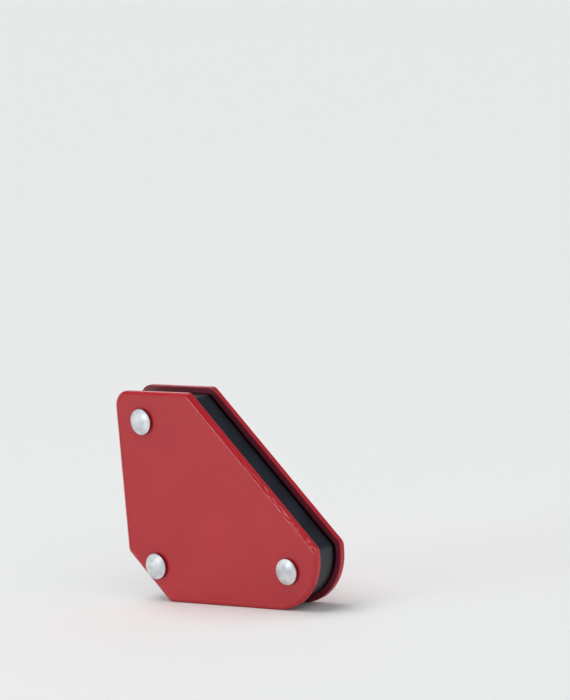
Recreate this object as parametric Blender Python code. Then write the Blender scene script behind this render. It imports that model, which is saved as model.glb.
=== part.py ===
"""Small magnetic welding holder: two painted steel plates riveted over a moulded spacer.

The plates are the pole pieces of three ferrite blocks that sit in pockets of the spacer, so
their edges grip steel at 45, 90 and 135 degrees. +Z is up and -Y is the front, where the rivets'
domed heads are. The origin is under the middle of the holder as it stands on its long edge.
"""

import math

import bmesh
import bpy
from mathutils import Vector

# Outline of the plates, measured from the corner where the long and the short edge would meet.
LONG_EDGE = 0.060
SHORT_EDGE = 0.0515
TOP_EDGE = 0.0238
CHAMFER_LEG = 0.0120
DIAGONAL_LEG = LONG_EDGE - TOP_EDGE

# The plates' corner radii. Corners go anticlockwise as seen from the front, and each edge
# starts at the corner beside it here.
PLATE_RADII = {
    "chamfer_foot": 0.002,
    "round": 0.0135,
    "diagonal_foot": 0.002,
    "diagonal_top": 0.002,
    "top_left": 0.004,
    "chamfer_top": 0.002,
}
EDGES = ("bottom", "right", "diagonal", "top", "side", "chamfer")
ARC_STEP = math.radians(7.5)
SHARP_ANGLE = math.radians(40)

# The stack, front to back.
STACK = 0.011
PLATE = 0.0018
GAP = 0.0003
ROLLOVER_WIDTH = 0.0009
ROLLOVER_DEPTH = 0.0005
ROLLOVER_STEPS = 3
SPACER_RECESS = 0.0016
SPACER_CHAMFER_RECESS = 0.0012
SPACER_CORNER = 0.0004

# Rivets: solid at the domed head, hollow at the end that is rolled over the back plate.
RIVET_PLACES = {
    "top_left": (0.0085, 0.0442),
    "bottom_left": (0.0092, 0.0087),
    "bottom_right": (0.0509, 0.0096),
}
SHANK_RADIUS = 0.0016
HEAD_RADIUS = 0.0032
HEAD_RIM = 0.00035
HEAD_HEIGHT = 0.0010
TAIL_RADIUS = 0.0027
TAIL_BORE = 0.0010
TAIL_BORE_DEPTH = 0.0042
ROUND_STEPS = 24
DOME_STEPS = 5
ROLL_STEPS = 6

# Ferrite blocks, each behind the middle of a working edge or a little above it.
MAGNET_WIDTH = 0.010
SPACER_WALL = 0.002
MAGNET_CHAMFER = 0.0004
EDGE_TO_MAGNET = SPACER_RECESS + SPACER_WALL + MAGNET_WIDTH / 2
SIDE_MAGNET_RISE = 0.001
DIAGONAL_MAGNET_RISE = 0.003
MAGNET_LENGTHS = {"bottom": 0.030, "side": 0.024, "diagonal": 0.026}


def finish(name, colour, metallic, roughness):
    """One Principled BSDF material."""
    material = bpy.data.materials.new(name)
    material.use_nodes = True
    shader = material.node_tree.nodes["Principled BSDF"]
    shader.inputs["Base Color"].default_value = (*colour, 1.0)
    shader.inputs["Metallic"].default_value = metallic
    shader.inputs["Roughness"].default_value = roughness
    return material


def sharp_corners():
    """Where the plate's edges would meet without their rounding."""
    return {
        "chamfer_foot": Vector((CHAMFER_LEG, 0)),
        "round": Vector((LONG_EDGE, 0)),
        "diagonal_foot": Vector((LONG_EDGE, SHORT_EDGE - DIAGONAL_LEG)),
        "diagonal_top": Vector((TOP_EDGE, SHORT_EDGE)),
        "top_left": Vector((0, SHORT_EDGE)),
        "chamfer_top": Vector((0, CHAMFER_LEG)),
    }


def outline(insets, radii):
    """The outline with each edge moved inwards by its inset and each corner rounded."""
    corners = list(sharp_corners().items())
    points = []
    for index, (name, corner) in enumerate(corners):
        before = corners[index - 1][1]
        after = corners[(index + 1) % len(corners)][1]
        come = (corner - before).normalized()
        leave = (after - corner).normalized()
        inward_come = Vector((-come.y, come.x))
        inward_leave = Vector((-leave.y, leave.x))
        inset_come = insets[EDGES[index - 1]]
        inset_leave = insets[EDGES[index]]
        shared = inward_come.dot(inward_leave)
        shift = inward_come * (inset_come - inset_leave * shared)
        shift += inward_leave * (inset_leave - inset_come * shared)
        turn = come.angle(leave)
        radius = radii[name]
        moved = corner + shift / (1 - shared ** 2)
        start = moved - come * radius * math.tan(turn / 2)
        centre = start + inward_come * radius
        steps = math.ceil(turn / ARC_STEP - 1e-6)
        for step in range(steps + 1):
            angle = turn * step / steps
            points.append(
                centre - inward_come * radius * math.cos(angle) + come * radius * math.sin(angle)
            )
    return points


def place(point, y):
    """A point of the outline as a point of the holder, at depth y."""
    return Vector((point[0] - LONG_EDGE / 2, y, point[1]))


def add_object(name, mesh, material, parent):
    piece = bpy.data.objects.new(name, mesh)
    bpy.context.scene.collection.objects.link(piece)
    if material:
        mesh.materials.append(material)
    piece.parent = parent
    return piece


def slab(name, levels, material, parent):
    """A closed slab through a list of (points, y) levels that all have as many points."""
    shape = bmesh.new()
    rings = [[shape.verts.new(place(point, y)) for point in points] for points, y in levels]
    for lower, upper in zip(rings, rings[1:]):
        for index in range(len(lower)):
            near = lower[index - 1], lower[index]
            shape.faces.new((*near, upper[index], upper[index - 1]))
    shape.faces.new(rings[0])
    shape.faces.new(rings[-1])
    bmesh.ops.recalc_face_normals(shape, faces=shape.faces)
    mesh = bpy.data.meshes.new(name)
    shape.to_mesh(mesh)
    shape.free()
    mesh.shade_smooth()
    mesh.set_sharp_from_angle(angle=SHARP_ANGLE)
    return add_object(name, mesh, material, parent)


def steel_plate(name, side, material, parent):
    """A blanked plate whose outer edge is rolled over. side is -1 at the front, 1 at the back."""
    outer = side * STACK / 2
    levels = [(outline(dict.fromkeys(EDGES, 0), PLATE_RADII), outer - side * PLATE)]
    for step in range(ROLLOVER_STEPS + 1):
        angle = math.pi / 2 * step / ROLLOVER_STEPS
        inset = ROLLOVER_WIDTH * (1 - math.cos(angle))
        depth = ROLLOVER_DEPTH * (1 - math.sin(angle))
        radii = {corner: radius - inset for corner, radius in PLATE_RADII.items()}
        levels.append((outline(dict.fromkeys(EDGES, inset), radii), outer - side * depth))
    return slab(name, levels, material, parent)


def spacer_block(material, parent):
    """The moulded spacer, set back from the plates' edges and crisp at all but one corner.

    It is set back less along the chamfer, to keep a wall round the rivet there.
    """
    radii = dict.fromkeys(PLATE_RADII, SPACER_CORNER)
    radii["round"] = PLATE_RADII["round"] - SPACER_RECESS
    insets = dict.fromkeys(EDGES, SPACER_RECESS)
    insets["chamfer"] = SPACER_CHAMFER_RECESS
    points = outline(insets, radii)
    half = STACK / 2 - PLATE - GAP
    return slab("spacer_core", [(points, -half), (points, half)], material, parent)


def magnet_places():
    """Name to (middle, angle of its length), each block along one working edge."""
    middle_of_diagonal = Vector(((TOP_EDGE + LONG_EDGE) / 2, SHORT_EDGE - DIAGONAL_LEG / 2))
    upwards = Vector((-1, 1)).normalized()
    inward = Vector((-1, -1)).normalized()
    diagonal = middle_of_diagonal + inward * EDGE_TO_MAGNET + upwards * DIAGONAL_MAGNET_RISE
    return {
        "bottom": (Vector((LONG_EDGE / 2, EDGE_TO_MAGNET)), 0.0),
        "side": (Vector((EDGE_TO_MAGNET, SHORT_EDGE / 2 + SIDE_MAGNET_RISE)), math.pi / 2),
        "diagonal": (diagonal, math.radians(-45)),
    }


def block(name, middle, size, angle, material, parent):
    """A box of size (length, depth, width) with its length at an angle from +X."""
    mesh = bpy.data.meshes.new(name)
    shape = bmesh.new()
    bmesh.ops.create_cube(shape, size=1.0)
    bmesh.ops.scale(shape, vec=size, verts=shape.verts)
    shape.to_mesh(mesh)
    shape.free()
    piece = add_object(name, mesh, material, parent)
    piece.location = place(middle, 0)
    piece.rotation_euler = (0, -angle, 0)
    return piece


def ferrite_magnet(name, middle, angle, material, parent):
    size = (MAGNET_LENGTHS[name], STACK - 2 * PLATE - 2 * GAP, MAGNET_WIDTH)
    piece = block(f"magnet_{name}", middle, size, angle, material, parent)
    bevel = piece.modifiers.new("ground_edges", "BEVEL")
    bevel.width = MAGNET_CHAMFER
    bevel.segments = 1
    return piece


def pocket_cutter(name, middle, angle, parent):
    size = (MAGNET_LENGTHS[name] + 2 * GAP, STACK, MAGNET_WIDTH + 2 * GAP)
    return block(f"cut_pocket_{name}", middle, size, angle, None, parent)


def turned(name, profile, middle, material, parent):
    """A closed shape turned round Y. The profile holds (radius, y) from the front to the back."""
    mesh = bpy.data.meshes.new(name)
    points = [(radius, 0, -y) for radius, y in profile]
    edges = [(index, index + 1) for index in range(len(points) - 1)]
    mesh.from_pydata(points, edges, [])
    piece = add_object(name, mesh, material, parent)
    piece.location = place(middle, 0)
    piece.rotation_euler = (math.pi / 2, 0, 0)
    screw = piece.modifiers.new("turn", "SCREW")
    screw.steps = ROUND_STEPS
    screw.render_steps = ROUND_STEPS
    screw.use_merge_vertices = True
    screw.merge_threshold = 0.00001
    screw.use_smooth_shade = True
    return piece


def rivet_profile():
    """Domed head, shank, and the tubular end rolled outwards over the back plate."""
    seat = STACK / 2 + GAP
    rise = HEAD_HEIGHT - HEAD_RIM
    dome_radius = (HEAD_RADIUS ** 2 + rise ** 2) / (2 * rise)
    half_angle = math.asin(HEAD_RADIUS / dome_radius)
    profile = []
    for step in range(DOME_STEPS + 1):
        angle = half_angle * step / DOME_STEPS
        sag = dome_radius * (1 - math.cos(angle))
        profile.append((dome_radius * math.sin(angle), -seat - HEAD_HEIGHT + sag))
    profile += [(HEAD_RADIUS, -seat), (SHANK_RADIUS, -seat), (SHANK_RADIUS, seat)]
    roll = (TAIL_RADIUS - TAIL_BORE) / 2
    for step in range(ROLL_STEPS + 1):
        angle = math.pi * step / ROLL_STEPS
        profile.append(
            (TAIL_BORE + roll + roll * math.cos(angle), seat + HEAD_HEIGHT * math.sin(angle))
        )
    bore_end = seat - TAIL_BORE_DEPTH
    profile += [(TAIL_BORE, bore_end), (0, bore_end - TAIL_BORE / 2)]
    return profile


def rivet(name, middle, material, parent):
    return turned(f"rivet_{name}", rivet_profile(), middle, material, parent)


def rivet_hole_cutter(name, middle, parent):
    radius = SHANK_RADIUS + GAP
    profile = [(0, -STACK), (radius, -STACK), (radius, STACK), (0, STACK)]
    return turned(f"cut_hole_{name}", profile, middle, None, parent)


def cut(piece, cutters):
    for cutter in cutters:
        cutter.hide_render = True
        cutter.display_type = "WIRE"
        boolean = piece.modifiers.new(cutter.name, "BOOLEAN")
        boolean.operation = "DIFFERENCE"
        boolean.solver = "EXACT"
        boolean.object = cutter


def build():
    for old in list(bpy.data.objects):
        bpy.data.objects.remove(old)
    holder = bpy.data.objects.new("magnet_holder", None)
    bpy.context.scene.collection.objects.link(holder)

    red_paint = finish("red_powder_coat", (0.42, 0.05, 0.06), 0.0, 0.42)
    black_plastic = finish("black_moulded_plastic", (0.02, 0.022, 0.026), 0.0, 0.45)
    ferrite = finish("ferrite", (0.045, 0.043, 0.045), 0.1, 0.7)
    aluminium = finish("aluminium", (0.80, 0.81, 0.83), 1.0, 0.25)

    front = steel_plate("front_plate", -1, red_paint, holder)
    back = steel_plate("back_plate", 1, red_paint, holder)
    spacer = spacer_block(black_plastic, holder)

    holes = []
    for name, middle in RIVET_PLACES.items():
        rivet(name, middle, aluminium, holder)
        holes.append(rivet_hole_cutter(name, middle, holder))
    pockets = []
    for name, (middle, angle) in magnet_places().items():
        ferrite_magnet(name, middle, angle, ferrite, holder)
        pockets.append(pocket_cutter(name, middle, angle, holder))

    cut(front, holes)
    cut(back, holes)
    cut(spacer, holes + pockets)


build()
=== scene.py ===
import math

import bmesh
import bpy
from mathutils import Matrix, Vector


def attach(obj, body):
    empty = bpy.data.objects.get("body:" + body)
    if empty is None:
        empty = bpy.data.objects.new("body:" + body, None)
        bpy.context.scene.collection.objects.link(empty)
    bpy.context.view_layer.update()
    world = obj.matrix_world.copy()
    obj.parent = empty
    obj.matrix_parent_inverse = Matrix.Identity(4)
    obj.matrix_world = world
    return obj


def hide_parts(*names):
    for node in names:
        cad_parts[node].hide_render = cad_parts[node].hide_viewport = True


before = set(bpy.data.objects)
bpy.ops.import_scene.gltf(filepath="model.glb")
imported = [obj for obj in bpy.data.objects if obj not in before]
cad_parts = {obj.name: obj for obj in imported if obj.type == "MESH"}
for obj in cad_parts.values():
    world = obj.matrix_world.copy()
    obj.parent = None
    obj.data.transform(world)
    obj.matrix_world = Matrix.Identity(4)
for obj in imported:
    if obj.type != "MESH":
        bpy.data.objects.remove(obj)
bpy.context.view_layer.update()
mm = 0.001
print("frame loaded:", ", ".join(sorted(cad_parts)))


# Colours and nodes

def linear(hexColour):
    channels = []
    for start in (0, 2, 4):
        value = int(hexColour[start:start + 2], 16) / 255
        if value <= 0.04045:
            channels.append(value / 12.92)
        else:
            channels.append(((value + 0.055) / 1.055) ** 2.4)
    return (*channels, 1.0)


def addNode(tree, kind, inputs=None, settings=None):
    # An input takes a fixed value, or a link where its value is another node's output.
    node = tree.nodes.new("ShaderNode" + kind)
    for key, value in (settings or {}).items():
        setattr(node, key, value)
    for key, value in (inputs or {}).items():
        if isinstance(value, bpy.types.NodeSocket):
            tree.links.new(value, node.inputs[key])
        else:
            node.inputs[key].default_value = value
    return node


def startMaterial(name, fixed):
    # A material whose shader already holds every value that is the same all over.
    material = bpy.data.materials.new(name)
    material.use_nodes = True
    tree = material.node_tree
    shader = tree.nodes["Principled BSDF"]
    for key, value in fixed.items():
        shader.inputs[key].default_value = value
    place = addNode(tree, "TexCoord").outputs["Object"]
    return material, tree, shader, place


def perMetre(size):
    # Noise scale that gives features of this size, in metres.
    return 1 / size


# Shapes

shape = {
    "longEdge": 60 * mm,
    "shortEdge": 51.5 * mm,
    "topEdge": 23.8 * mm,
    "chamferLeg": 12 * mm,
    "stack": 11 * mm,
    "plate": 1.8 * mm,
    "arcStep": math.radians(3),
    # radius of each corner, anticlockwise from the foot of the small chamfer
    "radii": {"chamferFoot": 2 * mm, "round": 13.5 * mm, "diagonalFoot": 2 * mm,
              "diagonalTop": 2 * mm, "topLeft": 4 * mm, "chamferTop": 2 * mm},
    "rivets": {"topLeft": (8.5 * mm, 44.2 * mm), "bottomLeft": (9.2 * mm, 8.7 * mm),
               "bottomRight": (50.9 * mm, 9.6 * mm)},
}
edgeNames = ("bottom", "right", "diagonal", "top", "side", "chamfer")


def sharpCorners():
    diagonalLeg = shape["longEdge"] - shape["topEdge"]
    return {
        "chamferFoot": Vector((shape["chamferLeg"], 0)),
        "round": Vector((shape["longEdge"], 0)),
        "diagonalFoot": Vector((shape["longEdge"], shape["shortEdge"] - diagonalLeg)),
        "diagonalTop": Vector((shape["topEdge"], shape["shortEdge"])),
        "topLeft": Vector((0, shape["shortEdge"])),
        "chamferTop": Vector((0, shape["chamferLeg"])),
    }


def outlineLoop(insets, radii):
    # The outline with each edge moved inwards and each corner rounded.
    corners = list(sharpCorners().items())
    points = []
    for index, (name, corner) in enumerate(corners):
        come = (corner - corners[index - 1][1]).normalized()
        leave = (corners[(index + 1) % len(corners)][1] - corner).normalized()
        inCome = Vector((-come.y, come.x))
        inLeave = Vector((-leave.y, leave.x))
        insetCome = insets[edgeNames[index - 1]]
        insetLeave = insets[edgeNames[index]]
        shared = inCome.dot(inLeave)
        shift = inCome * (insetCome - insetLeave * shared)
        shift += inLeave * (insetLeave - insetCome * shared)
        turn = come.angle(leave)
        start = corner + shift / (1 - shared ** 2) - come * radii[name] * math.tan(turn / 2)
        centre = start + inCome * radii[name]
        steps = math.ceil(turn / shape["arcStep"] - 1e-6)
        for step in range(steps + 1):
            angle = turn * step / steps
            ray = come * math.sin(angle) - inCome * math.cos(angle)
            points.append(centre + ray * radii[name])
    return points


def evenLoop(inset):
    # Every edge moved in by the same amount, so each corner keeps its centre.
    radii = {name: max(radius - inset, 0.1 * mm) for name, radius in shape["radii"].items()}
    return outlineLoop(dict.fromkeys(edgeNames, inset), radii)


def roundLoop(middle, radius, count=48):
    turns = [2 * math.pi * index / count for index in range(count)]
    return [Vector((middle[0] + radius * math.cos(turn), middle[1] + radius * math.sin(turn)))
            for turn in turns]


def layeredSolid(name, levels, holes):
    # Rings of (loop, y, band, painted shade) from one face to the other, with holes right through.
    # A hole is its own list of (loop, y). Band and painted shade stay on the points for the material.
    solid = bmesh.new()
    bandLayer = solid.verts.layers.float.new("edgeBand")
    channelShadeLayer = solid.verts.layers.float.new("channelShade")

    def addRing(loop, y, band=0, paintedShade=0):
        ring = []
        for point in loop:
            vert = solid.verts.new((point.x - shape["longEdge"] / 2, y, point.y))
            vert[bandLayer] = band
            vert[channelShadeLayer] = paintedShade
            ring.append(vert)
        return ring

    def joinRings(rings):
        for lower, upper in zip(rings, rings[1:]):
            for index in range(len(lower)):
                solid.faces.new((lower[index - 1], lower[index], upper[index], upper[index - 1]))

    outer = [addRing(*level) for level in levels]
    joinRings(outer)
    stacks = [outer]
    for hole in holes:
        stacks.append([addRing(*ring) for ring in hole])
        joinRings(stacks[-1])
    for end in (0, -1):
        rim = []
        for rings in stacks:
            ring = rings[end]
            for index in range(len(ring)):
                rim.append(solid.edges.get((ring[index - 1], ring[index])))
        bmesh.ops.triangle_fill(solid, use_beauty=True, edges=rim)
    bmesh.ops.recalc_face_normals(solid, faces=solid.faces)
    return meshObject(name, solid)


def meshObject(name, solid, sharp=math.radians(38)):
    mesh = bpy.data.meshes.new(name)
    solid.to_mesh(mesh)
    solid.free()
    mesh.shade_smooth()
    mesh.set_sharp_from_angle(angle=sharp)
    piece = bpy.data.objects.new(name, mesh)
    bpy.context.scene.collection.objects.link(piece)
    level = piece.modifiers.new("levelFaces", "WEIGHTED_NORMAL")
    level.keep_sharp = True
    return piece


def turnedSolid(name, profile, middle, count=96):
    # A closed shape turned round Y from a list of (radius, y, painted shade), with both ends on the
    # axis. The painted shade stays on the points for the material.
    solid = bmesh.new()
    underShadeLayer = solid.verts.layers.float.new("paintedUnderShade")
    rings = []
    for radius, y, paintedUnderShade in profile:
        if radius == 0:
            rings.append([solid.verts.new((0, y, 0))])
        else:
            loop = roundLoop((0, 0), radius, count)
            rings.append([solid.verts.new((point.x, y, point.y)) for point in loop])
        for vert in rings[-1]:
            vert[underShadeLayer] = paintedUnderShade
    for lower, upper in zip(rings, rings[1:]):
        for index in range(count):
            corners = [lower[index % len(lower)], lower[(index + 1) % len(lower)],
                       upper[(index + 1) % len(upper)], upper[index % len(upper)]]
            solid.faces.new(list(dict.fromkeys(corners)))
    bmesh.ops.recalc_face_normals(solid, faces=solid.faces)
    offset = Vector((middle[0] - shape["longEdge"] / 2, 0, middle[1]))
    bmesh.ops.translate(solid, verts=solid.verts, vec=offset)
    return meshObject(name, solid)


def standFor(piece, node, material):
    piece.data.materials.append(material)
    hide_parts(node)
    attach(piece, "root")


# Plates

plate = {
    "innerRadius": 0.30 * mm,
    "landRadius": 0.26 * mm,
    "bevelWidth": 0.66 * mm,
    "bevelDepth": 0.45 * mm,
    "bevelFoot": (0.84, 0.10),  # where the bevel ends, as shares of its width and depth
    # the bead: share of the bevel's width, share of the bead's height, edge band
    "bead": ((0.94, 0.02, 1), (1.02, 0.30, 1), (1.14, 0.72, 1), (1.27, 0.97, 1),
             (1.36, 0.98, 1), (1.48, 0.55, 0.7), (1.62, 0.12, 0.3)),
    "beadHeight": 0.075 * mm,
    "beadEnd": 1.20 * mm,
    # painted shade on the inner face, darker inwards: inset, share of painted shade
    "channelShade": ((3.2 * mm, 1), (1.75 * mm, 1), (1.45 * mm, 0.85), (0.8 * mm, 0.8)),
    "holeRadius": 1.9 * mm,
    "colour": "BA1F2A",
    "deepColour": "B21B26",
    # painted shade: the channel colour and the near-black colour beside the spacer
    "channelShadeColour": "5E2A3A",
    "deepShadeColour": "0B0709",
    # painted highlight: pale streaks on the rolled edge
    "highlightStreakColour": "E3ABA6",
    "roughness": 0.34,
    "edgeGloss": 0.19,  # how much smoother the paint is on the rolled edge
    "driftSize": 14 * mm,
    "sheenSize": 5 * mm,
    "peelSize": 1.6 * mm,
    "grainSize": 0.35 * mm,
    "runSize": 2.4 * mm,
    "highlightStreakWidth": 0.22 * mm,
    "highlightStreakStretch": 0.10,
    "highlightStreakStrength": 0.45,
    # the painted highlight streaks start and end their fade at these distances: along the sloping
    # edge, out to that edge, and out from the middle of the stack, and at these noise values
    "highlightStreakAlong": (22 * mm, 2 * mm),
    "highlightStreakOut": (30.6 * mm, 30.9 * mm),
    "highlightStreakDepth": (4.9 * mm, 5.1 * mm),
    "highlightStreakNoise": (0.56, 0.64),
}


def edgeProfile():
    # (inset, depth from the outer face, band, painted shade) from the inner face round to the outer
    # face
    profile = [(inset, shape["plate"], 0, paintedShade) for inset, paintedShade in plate["channelShade"]]
    inner = plate["innerRadius"]
    for step in range(6):
        angle = math.pi / 2 * step / 5
        profile.append((inner * (1 - math.sin(angle)),
                        shape["plate"] - inner * (1 - math.cos(angle)),
                        0.6, 0.7 * (1 - step / 5)))
    profile.append((0, (shape["plate"] - inner + plate["bevelDepth"]) / 2, 0.8, 0))
    slope = math.atan2(plate["bevelWidth"], plate["bevelDepth"])
    radius = plate["landRadius"]
    reach = radius * math.tan(slope / 2)
    for step in range(6):
        angle = slope * step / 5
        profile.append((radius * (1 - math.cos(angle)),
                        plate["bevelDepth"] + reach - radius * math.sin(angle), 1, 0))
    profile.append((plate["bevelWidth"] * 0.5, plate["bevelDepth"] * 0.5, 1, 0))
    along, down = plate["bevelFoot"]
    profile.append((plate["bevelWidth"] * along, plate["bevelDepth"] * down, 1, 0))
    for along, rise, band in plate["bead"]:
        profile.append((plate["bevelWidth"] * along, -plate["beadHeight"] * rise, band, 0))
    profile.append((plate["beadEnd"], 0, 0, 0))
    return profile


def pressedPlate(name, side):
    # side is -1 for the front plate and 1 for the back one.
    outer = side * shape["stack"] / 2
    levels = []
    for inset, depth, band, paintedShade in edgeProfile():
        levels.append((evenLoop(inset), outer - side * depth, band, paintedShade))
    holes = []
    for middle in shape["rivets"].values():
        loop = roundLoop(middle, plate["holeRadius"])
        holes.append([(loop, outer - side * shape["plate"], 0, 1), (loop, outer)])
    return layeredSolid(name, levels, holes)


def powderCoat():
    # Polyester powder coat, sprayed and baked: soft gloss with a slight orange peel.
    material, tree, shader, place = startMaterial("satinPolyesterPowderCoat", {
        "Metallic": 0.0,
        "IOR": 1.5,
    })
    band = addNode(tree, "Attribute", settings={"attribute_name": "edgeBand"}).outputs["Fac"]
    drift = addNode(tree, "TexNoise", {
        "Vector": place,
        "Scale": perMetre(plate["driftSize"]),
        "Detail": 3.0,
    })
    shade = addNode(tree, "MapRange", {
        "Value": drift.outputs["Fac"],
        "From Min": 0.3,
        "From Max": 0.7,
    })
    colour = addNode(tree, "Mix", {
        0: shade.outputs[0],
        6: linear(plate["colour"]),
        7: linear(plate["deepColour"]),
    }, {"data_type": "RGBA"})
    # Painted shade: the inner face in the channel is darkened to maroon, and beside the spacer
    # to nearly black, where shade falls between the plate and the spacer.
    paintedShade = addNode(tree, "Attribute", settings={"attribute_name": "channelShade"}).outputs["Fac"]
    paintInShade = addNode(tree, "Mix", {
        0: paintedShade,
        6: colour.outputs[2],
        7: linear(plate["channelShadeColour"]),
    }, {"data_type": "RGBA"})
    deepShadeMask = addNode(tree, "MapRange", {"Value": paintedShade, "From Min": 0.85})
    paintWithShade = addNode(tree, "Mix", {
        0: deepShadeMask.outputs[0],
        6: paintInShade.outputs[2],
        7: linear(plate["deepShadeColour"]),
    }, {"data_type": "RGBA"})
    # Painted highlight: pale streaks on the rolled shoulder of the long sloping edge, more towards
    # its lower end.
    turned = addNode(tree, "VectorRotate", {"Vector": place, "Angle": math.radians(45)},
                     {"rotation_type": "Y_AXIS"}).outputs[0]
    edge = addNode(tree, "SeparateXYZ", {0: turned})
    stretch = addNode(tree, "Mapping", {
        "Vector": turned,
        "Scale": (1.0, 1.0, plate["highlightStreakStretch"]),
    })
    highlightNoise = addNode(tree, "TexNoise", {
        "Vector": stretch.outputs[0],
        "Scale": perMetre(plate["highlightStreakWidth"]),
        "Detail": 2.0,
    })
    highlightStreaks = addNode(tree, "MapRange", {
        "Value": highlightNoise.outputs["Fac"],
        "From Min": plate["highlightStreakNoise"][0],
        "From Max": plate["highlightStreakNoise"][1],
    })
    lower = addNode(tree, "MapRange", {
        "Value": edge.outputs["Z"],
        "From Min": plate["highlightStreakAlong"][0],
        "From Max": plate["highlightStreakAlong"][1],
        "To Max": plate["highlightStreakStrength"],
    })
    reach = addNode(tree, "MapRange", {
        "Value": edge.outputs["X"],
        "From Min": plate["highlightStreakOut"][0],
        "From Max": plate["highlightStreakOut"][1],
    })
    depth = addNode(tree, "Math", {0: edge.outputs["Y"]}, {"operation": "ABSOLUTE"})
    outside = addNode(tree, "MapRange", {
        "Value": depth.outputs[0],
        "From Min": plate["highlightStreakDepth"][0],
        "From Max": plate["highlightStreakDepth"][1],
    })
    paintedHighlight = lower.outputs[0]
    for mask in (highlightStreaks.outputs[0], reach.outputs[0], outside.outputs[0], band):
        paintedHighlight = addNode(tree, "Math", {0: paintedHighlight, 1: mask}, {"operation": "MULTIPLY"}).outputs[0]
    paintWithHighlight = addNode(tree, "Mix", {
        0: paintedHighlight,
        6: paintWithShade.outputs[2],
        7: linear(plate["highlightStreakColour"]),
    }, {"data_type": "RGBA"})
    tree.links.new(paintWithHighlight.outputs[2], shader.inputs["Base Color"])

    # The paint flows smoother where it wraps over the rolled edge.
    sheen = addNode(tree, "TexNoise", {
        "Vector": place,
        "Scale": perMetre(plate["sheenSize"]),
        "Detail": 2.0,
    })
    base = addNode(tree, "MapRange", {
        "Value": sheen.outputs["Fac"],
        "From Min": 0.3,
        "From Max": 0.7,
        "To Min": plate["roughness"] - 0.03,
        "To Max": plate["roughness"] + 0.05,
    })
    gloss = addNode(tree, "Math", {
        0: band,
        1: -plate["edgeGloss"],
        2: base.outputs[0],
    }, {"operation": "MULTIPLY_ADD"})
    tree.links.new(gloss.outputs[0], shader.inputs["Roughness"])

    peel = addNode(tree, "TexNoise", {
        "Vector": place,
        "Scale": perMetre(plate["peelSize"]),
        "Detail": 1.0,
    })
    grain = addNode(tree, "TexNoise", {
        "Vector": place,
        "Scale": perMetre(plate["grainSize"]),
        "Detail": 1.0,
    })
    low = addNode(tree, "Bump", {
        "Height": peel.outputs["Fac"],
        "Strength": 0.30,
        "Distance": 0.05 * mm,
    })
    fine = addNode(tree, "Bump", {
        "Height": grain.outputs["Fac"],
        "Strength": 0.15,
        "Distance": 0.02 * mm,
        "Normal": low.outputs[0],
    })
    # It gathers unevenly along the edge, so the light on it breaks up.
    runs = addNode(tree, "TexNoise", {
        "Vector": place,
        "Scale": perMetre(plate["runSize"]),
        "Detail": 3.0,
    })
    gather = addNode(tree, "Math", {0: runs.outputs["Fac"], 1: band}, {"operation": "MULTIPLY"})
    ripple = addNode(tree, "Bump", {
        "Height": gather.outputs[0],
        "Strength": 0.6,
        "Distance": 0.12 * mm,
        "Normal": fine.outputs[0],
    })
    tree.links.new(ripple.outputs[0], shader.inputs["Normal"])
    return material


paintMaterial = powderCoat()
frontPlate = pressedPlate("frontPlate", -1)
standFor(frontPlate, "front_plate", paintMaterial)
backPlate = pressedPlate("backPlate", 1)
standFor(backPlate, "back_plate", paintMaterial)
print("plates made")


# Spacer

spacer = {
    "recess": 1.6 * mm,
    "chamferRecess": 1.2 * mm,
    "corner": 0.7 * mm,
    "rimRadius": 0.35 * mm,
    "rebateDepth": 1.1 * mm,
    "rebateWidth": 0.70 * mm,
    "halfDepth": 3.66 * mm,
    "holeRadius": 1.9 * mm,
    "pocketGap": 0.3 * mm,
    "colour": "0B111C",
    "lightColour": "141B27",
    "roughness": 0.33,
    "flowSize": 9 * mm,
    "sinkSize": 7 * mm,
    "grainSize": 0.25 * mm,
}


def spacerLoop(extra):
    insets = dict.fromkeys(edgeNames, spacer["recess"] + extra)
    insets["chamfer"] = spacer["chamferRecess"] + extra * 0.55  # keeps a wall round the rivet
    radii = dict.fromkeys(shape["radii"], spacer["corner"] + spacer["rebateDepth"] - extra)
    radii["round"] = shape["radii"]["round"] - spacer["recess"] - extra
    return outlineLoop(insets, radii)


def pocketLoop(node):
    # The magnet's rectangle as its CAD node gives it, grown by the fitting gap.
    points = [vert.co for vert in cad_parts[node].data.vertices]
    world = [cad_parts[node].matrix_world @ point for point in points]
    flat = [Vector((point.x + shape["longEdge"] / 2, point.z)) for point in world]
    middle = sum(flat, Vector((0, 0))) / len(flat)
    turn = math.radians(-45) if node == "magnet_diagonal" else 0
    along = Vector((math.cos(turn), math.sin(turn)))
    across = Vector((-along.y, along.x))
    reachAlong = max(abs((point - middle).dot(along)) for point in flat) + spacer["pocketGap"]
    reachAcross = max(abs((point - middle).dot(across)) for point in flat) + spacer["pocketGap"]
    radius = 0.5 * mm
    loop = []
    for number, (one, two) in enumerate(((1, 1), (-1, 1), (-1, -1), (1, -1))):
        corner = middle + along * one * (reachAlong - radius) + across * two * (reachAcross - radius)
        for step in range(5):
            angle = math.pi / 2 * (number + step / 4)
            loop.append(corner + (along * math.cos(angle) + across * math.sin(angle)) * radius)
    return loop


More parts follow.
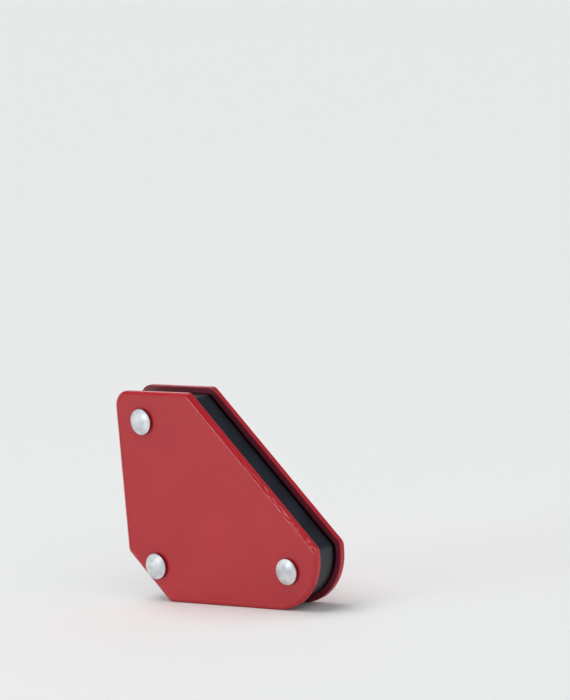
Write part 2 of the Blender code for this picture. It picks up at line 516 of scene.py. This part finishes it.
def mouldedSpacer():
    # The wall steps in beside each plate, which leaves a dark line there.
    levels = []
    half = spacer["halfDepth"]
    rim = spacer["rimRadius"]
    step = half - spacer["rebateWidth"]
    for side in (-1, 1):
        ends = [(spacerLoop(spacer["rebateDepth"]), side * half)]
        ends.append((spacerLoop(spacer["rebateDepth"]), side * step))
        for share in range(6):
            angle = math.pi / 2 * share / 5
            loop = spacerLoop(rim * (1 - math.sin(angle)))
            ends.append((loop, side * (step - rim * (1 - math.cos(angle)))))
        levels += ends if side < 0 else ends[::-1]
    holes = []
    for middle in shape["rivets"].values():
        loop = roundLoop(middle, spacer["holeRadius"])
        holes.append([(loop, -half), (loop, half)])
    for node in ("magnet_bottom", "magnet_side", "magnet_diagonal"):
        loop = pocketLoop(node)
        holes.append([(loop, -half), (loop, half)])
    return layeredSolid("spacerCore", levels, holes)


def mouldedNylon():
    # Black nylon, injection moulded in a lightly textured tool: satin, with faint flow marks.
    material, tree, shader, place = startMaterial("mouldedBlackNylon", {
        "Metallic": 0.0,
        "IOR": 1.53,
    })
    flow = addNode(tree, "TexNoise", {
        "Vector": place,
        "Scale": perMetre(spacer["flowSize"]),
        "Detail": 3.0,
    })
    shade = addNode(tree, "MapRange", {
        "Value": flow.outputs["Fac"],
        "From Min": 0.35,
        "From Max": 0.7,
    })
    colour = addNode(tree, "Mix", {
        0: shade.outputs[0],
        6: linear(spacer["colour"]),
        7: linear(spacer["lightColour"]),
    }, {"data_type": "RGBA"})
    tree.links.new(colour.outputs[2], shader.inputs["Base Color"])
    gloss = addNode(tree, "MapRange", {
        "Value": flow.outputs["Fac"],
        "From Min": 0.3,
        "From Max": 0.7,
        "To Min": spacer["roughness"] - 0.04,
        "To Max": spacer["roughness"] + 0.06,
    })
    tree.links.new(gloss.outputs[0], shader.inputs["Roughness"])
    grain = addNode(tree, "TexNoise", {
        "Vector": place,
        "Scale": perMetre(spacer["grainSize"]),
        "Detail": 2.0,
    })
    sink = addNode(tree, "TexNoise", {
        "Vector": place,
        "Scale": perMetre(spacer["sinkSize"]),
        "Detail": 1.0,
    })
    low = addNode(tree, "Bump", {
        "Height": sink.outputs["Fac"],
        "Strength": 0.5,
        "Distance": 0.15 * mm,
    })
    fine = addNode(tree, "Bump", {
        "Height": grain.outputs["Fac"],
        "Strength": 0.35,
        "Distance": 0.02 * mm,
        "Normal": low.outputs[0],
    })
    tree.links.new(fine.outputs[0], shader.inputs["Normal"])
    return material


spacerCore = mouldedSpacer()
standFor(spacerCore, "spacer_core", mouldedNylon())
print("spacer made")


# Rivets

rivet = {
    "headRadius": 3.2 * mm,
    "headRim": 0.75 * mm,
    "undercut": 0.42 * mm,
    "seatRadius": 2.3 * mm,
    "headHeight": 1.3 * mm,
    "rimRound": 0.12 * mm,
    "shankRadius": 1.6 * mm,
    "tailRadius": 2.7 * mm,
    "tailHeight": 1.3 * mm,
    "bore": 1.0 * mm,
    "boreDepth": 4.2 * mm,
    "colour": "E0E2E3",
    "dullColour": "BBC2CA",
    # painted shade under the rim of the head and down the bore
    "underShadeColour": "1C1517",
    "roughness": 0.47,
    "bloomSize": 2.2 * mm,
    "dentSize": 1.3 * mm,
}


def rivetProfile():
    seat = shape["stack"] / 2
    top = seat + rivet["headHeight"]
    soft = rivet["rimRound"]
    rise = rivet["headHeight"] - rivet["headRim"]
    edge = rivet["headRadius"] - soft
    domeRadius = (edge ** 2 + rise ** 2) / (2 * rise)
    spread = math.asin(edge / domeRadius)
    profile = []
    for step in range(13):
        angle = spread * step / 12
        profile.append((domeRadius * math.sin(angle), domeRadius * (1 - math.cos(angle)) - top, 0))
    # over the rim, down its wall and back under it
    for step in range(1, 6):
        angle = spread + (math.pi / 2 - spread) * step / 5
        profile.append((edge + soft * math.sin(angle) - soft * math.sin(spread),
                        -seat - rivet["headRim"] + soft * (math.cos(spread) - math.cos(angle)),
                        0.7 * step / 5))
    wall = profile[-1][0]
    under = -seat - rivet["undercut"]
    for step in range(6):
        angle = math.pi / 2 * step / 5
        profile.append((wall - soft * (1 - math.cos(angle)), under - soft * (1 - math.sin(angle)), 1))
    profile.append((rivet["seatRadius"], -seat, 1))
    profile.append((rivet["shankRadius"], -seat, 0))
    profile.append((rivet["shankRadius"], seat, 0))
    roll = (rivet["tailRadius"] - rivet["bore"]) / 2
    for step in range(17):
        angle = math.pi * step / 16
        profile.append((rivet["bore"] + roll + roll * math.cos(angle),
                        seat + rivet["tailHeight"] * math.sin(angle), 0))
    end = seat - rivet["boreDepth"]
    profile.append((rivet["bore"], end, 1))
    profile.append((0, end - rivet["bore"] / 2, 1))
    return profile


def tumbledAluminium():
    # Aluminium, cold headed and tumbled: silvery and soft, with fine dents and a dull bloom.
    material, tree, shader, place = startMaterial("tumbledAluminium", {
        "Metallic": 1.0,
    })
    bloom = addNode(tree, "TexNoise", {
        "Vector": place,
        "Scale": perMetre(rivet["bloomSize"]),
        "Detail": 3.0,
    })
    shade = addNode(tree, "MapRange", {
        "Value": bloom.outputs["Fac"],
        "From Min": 0.4,
        "From Max": 0.7,
    })
    colour = addNode(tree, "Mix", {
        0: shade.outputs[0],
        6: linear(rivet["colour"]),
        7: linear(rivet["dullColour"]),
    }, {"data_type": "RGBA"})
    # Painted shade: dark colour under the rim of the head and down the bore, where shade falls.
    paintedUnderShade = addNode(tree, "Attribute", settings={"attribute_name": "paintedUnderShade"}).outputs["Fac"]
    metalWithShade = addNode(tree, "Mix", {
        0: paintedUnderShade,
        6: colour.outputs[2],
        7: linear(rivet["underShadeColour"]),
    }, {"data_type": "RGBA"})
    tree.links.new(metalWithShade.outputs[2], shader.inputs["Base Color"])
    gloss = addNode(tree, "MapRange", {
        "Value": bloom.outputs["Fac"],
        "From Min": 0.3,
        "From Max": 0.7,
        "To Min": rivet["roughness"] - 0.05,
        "To Max": rivet["roughness"] + 0.08,
    })
    tree.links.new(gloss.outputs[0], shader.inputs["Roughness"])
    dents = addNode(tree, "TexNoise", {
        "Vector": place,
        "Scale": perMetre(rivet["dentSize"]),
        "Detail": 2.0,
    })
    bump = addNode(tree, "Bump", {
        "Height": dents.outputs["Fac"],
        "Strength": 0.5,
        "Distance": 0.09 * mm,
    })
    tree.links.new(bump.outputs[0], shader.inputs["Normal"])
    return material


rivetMaterial = tumbledAluminium()
rivetNodes = {"topLeft": "rivet_top_left", "bottomLeft": "rivet_bottom_left",
              "bottomRight": "rivet_bottom_right"}
for corner, node in rivetNodes.items():
    name = "rivet" + corner[0].upper() + corner[1:]
    piece = turnedSolid(name, rivetProfile(), shape["rivets"][corner])
    standFor(piece, node, rivetMaterial)
print("rivets made")


# Magnets

magnet = {
    "colour": "2B2A2C",
    "lightColour": "3A393B",
    "roughness": 0.72,
    "lineSize": 2.5 * mm,
    "lineStretch": 12.0,
}


def groundFerrite():
    # Sintered ferrite with ground faces: dull dark grey, with fine grinding lines.
    material, tree, shader, place = startMaterial("groundFerrite", {
        "Metallic": 0.0,
        "IOR": 2.3,
    })
    stretch = addNode(tree, "Mapping", {
        "Vector": place,
        "Scale": (1.0, 1.0, magnet["lineStretch"]),
    })
    lines = addNode(tree, "TexNoise", {
        "Vector": stretch.outputs[0],
        "Scale": perMetre(magnet["lineSize"]),
        "Detail": 3.0,
    })
    colour = addNode(tree, "Mix", {
        0: lines.outputs["Fac"],
        6: linear(magnet["colour"]),
        7: linear(magnet["lightColour"]),
    }, {"data_type": "RGBA"})
    tree.links.new(colour.outputs[2], shader.inputs["Base Color"])
    gloss = addNode(tree, "MapRange", {
        "Value": lines.outputs["Fac"],
        "To Min": magnet["roughness"] - 0.08,
        "To Max": magnet["roughness"] + 0.08,
    })
    tree.links.new(gloss.outputs[0], shader.inputs["Roughness"])
    bump = addNode(tree, "Bump", {
        "Height": lines.outputs["Fac"],
        "Strength": 0.4,
        "Distance": 0.02 * mm,
    })
    tree.links.new(bump.outputs[0], shader.inputs["Normal"])
    return material


magnetMaterial = groundFerrite()
for node in ("magnet_bottom", "magnet_side", "magnet_diagonal"):
    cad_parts[node].data.materials.clear()
    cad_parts[node].data.materials.append(magnetMaterial)
print("magnets finished")


# Studio

studio = {
    "floorColour": "EBEBEB",
    "horizonColour": "ECECEC",
    "ceilingColour": "757B82",
    "ceilingFade": (0.15, 0.6),  # ray heights between which the room turns darker
    "floorRadius": 8.0,
    "middle": Vector((0, 0.5 * mm, 26 * mm)),
    # where each distant soft light is, its spread in degrees, strength and colour
    "distantLights": {
        "overhead": ((-0.38, -0.04, 0.92), 50, 1.95, "FFFEFB"),
        "right": ((0.72, -0.35, 0.60), 50, 0.65, "FFFEFB"),
    },
    # the near softbox: place and size in metres, and watts
    "softbox": (Vector((-0.24, -0.50, 0.125)), 0.13, 0.41),
    # a dark stretch of the room in front: direction and the two edges of its fade
    "darkSide": ((0.08, -0.98, 0.17), 0.93, 0.985, "2E3238"),
}


def addFloor():
    # Matte seamless paper: an even pale ground with no gloss.
    material = startMaterial("mattePaperSweep", {
        "Roughness": 0.95,
        "Base Color": linear(studio["floorColour"]),
    })[0]
    disc = bmesh.new()
    bmesh.ops.create_circle(disc, cap_ends=True, segments=96, radius=studio["floorRadius"])
    mesh = bpy.data.meshes.new("studioFloor")
    disc.to_mesh(mesh)
    disc.free()
    mesh.materials.append(material)
    floor = bpy.data.objects.new("studioFloor", mesh)
    bpy.context.scene.collection.objects.link(floor)


def addLights():
    for name, (spot, spread, strength, colour) in studio["distantLights"].items():
        data = bpy.data.lights.new(name, "SUN")
        data.color = linear(colour)[:3]
        data.angle = math.radians(spread)
        data.energy = strength
        light = bpy.data.objects.new(name, data)
        light.rotation_mode = "QUATERNION"
        light.rotation_quaternion = Vector(spot).to_track_quat("Z", "Y")
        bpy.context.scene.collection.objects.link(light)
    place, size, watts = studio["softbox"]
    data = bpy.data.lights.new("softbox", "AREA")
    data.shape = "DISK"
    data.size = size
    data.energy = watts
    softbox = bpy.data.objects.new("softbox", data)
    softbox.location = place
    softbox.rotation_mode = "QUATERNION"
    softbox.rotation_quaternion = (place - studio["middle"]).to_track_quat("Z", "Y")
    bpy.context.scene.collection.objects.link(softbox)
    # A room that is pale low down and darker overhead.
    world = bpy.data.worlds.new("softRoom")
    world.use_nodes = True
    tree = world.node_tree
    ray = addNode(tree, "TexCoord").outputs["Generated"]
    height = addNode(tree, "SeparateXYZ", {0: ray})
    share = addNode(tree, "MapRange", {
        "Value": height.outputs["Z"],
        "From Min": studio["ceilingFade"][0],
        "From Max": studio["ceilingFade"][1],
    }, {"interpolation_type": "SMOOTHSTEP"})
    colour = addNode(tree, "Mix", {
        0: share.outputs[0],
        6: linear(studio["horizonColour"]),
        7: linear(studio["ceilingColour"]),
    }, {"data_type": "RGBA"})
    towards, fadeStart, fadeEnd, darkColour = studio["darkSide"]
    facing = addNode(tree, "VectorMath", {0: ray, 1: towards}, {"operation": "DOT_PRODUCT"})
    patch = addNode(tree, "MapRange", {
        "Value": facing.outputs["Value"],
        "From Min": fadeStart,
        "From Max": fadeEnd,
    }, {"interpolation_type": "SMOOTHSTEP"})
    room = addNode(tree, "Mix", {
        0: patch.outputs[0],
        6: colour.outputs[2],
        7: linear(darkColour),
    }, {"data_type": "RGBA"})
    tree.links.new(room.outputs[2], tree.nodes["Background"].inputs["Color"])
    bpy.context.scene.world = world


camera = {
    "azimuth": 41.0,
    "elevation": 8.0,
    "roll": -5.0,
    "distance": 1.2,
    "focal": 5000,
    "right": -53,
    "down": 145,
}


def addCamera():
    # focal, right and down are in frame units, 700 to the long side.
    turn = math.radians(camera["azimuth"])
    rise = math.radians(camera["elevation"])
    roll = math.radians(camera["roll"])
    back = Vector((math.sin(turn) * math.cos(rise), -math.cos(turn) * math.cos(rise), math.sin(rise)))
    right = (-back).cross(Vector((0, 0, 1))).normalized()
    up = right.cross(-back)
    tiltedRight = right * math.cos(roll) + up * math.sin(roll)
    tiltedUp = up * math.cos(roll) - right * math.sin(roll)
    perUnit = camera["distance"] / camera["focal"]
    data = bpy.data.cameras.new("studioCamera")
    data.sensor_width = 36
    data.lens = camera["focal"] * 36 / 700
    data.clip_start = 0.05
    data.clip_end = 40
    view = bpy.data.objects.new("studioCamera", data)
    view.rotation_mode = "QUATERNION"
    view.location = studio["middle"] + back * camera["distance"]
    view.location += tiltedUp * camera["down"] * perUnit - tiltedRight * camera["right"] * perUnit
    axes = Matrix((tiltedRight, tiltedUp, back)).transposed()
    view.rotation_quaternion = axes.to_quaternion()
    bpy.context.scene.collection.objects.link(view)
    bpy.context.scene.camera = view


addFloor()
addLights()
addCamera()
bpy.context.scene.view_settings.view_transform = "Standard"
print("studio ready")
